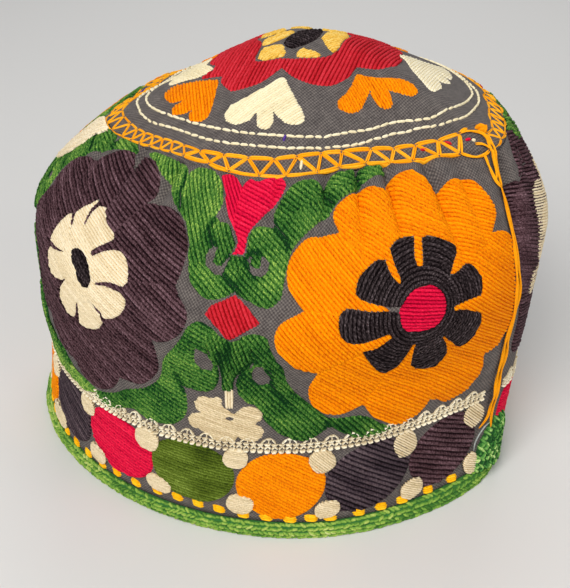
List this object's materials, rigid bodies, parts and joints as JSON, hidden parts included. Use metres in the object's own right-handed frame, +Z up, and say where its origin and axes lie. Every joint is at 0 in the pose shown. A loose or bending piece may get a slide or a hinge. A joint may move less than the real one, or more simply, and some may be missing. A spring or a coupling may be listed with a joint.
{
  "type": "skullcap",
  "caption": "Soft domed skullcap of grey cloth with a gathered side wall, lower band, lace line, corner seam cord and braided rim edging; worn on the head.",
  "frame": {"origin": "on the floor under the rim edging, below the middle of the whole cap's box", "axes": "+Z up through the crown, -Y to the front as pictured, +X to the wearer's left of that view, towards the corner seam"},
  "size_m": [0.192, 0.1883, 0.1498],
  "materials": {
    "crown_panel": "matte coarse grey cotton cloth",
    "side_wall": "matte coarse grey cotton cloth",
    "lower_band": "matte coarse grey cotton cloth",
    "rim_edging": "matte woven green cotton braid",
    "lace_trim": "matte crocheted cream cotton",
    "seam_cord": "satin orange embroidery thread",
    "edging_knot": "matte wound green cotton braid"
  },
  "bodies": {
    "root": {"crown_panel": "crown_panel", "side_wall": "side_wall", "lower_band": "lower_band", "rim_edging": "rim_edging", "lace_trim": "lace_trim", "seam_cord": "seam_cord", "edging_knot": "edging_knot"}
  },
  "joints": []
}
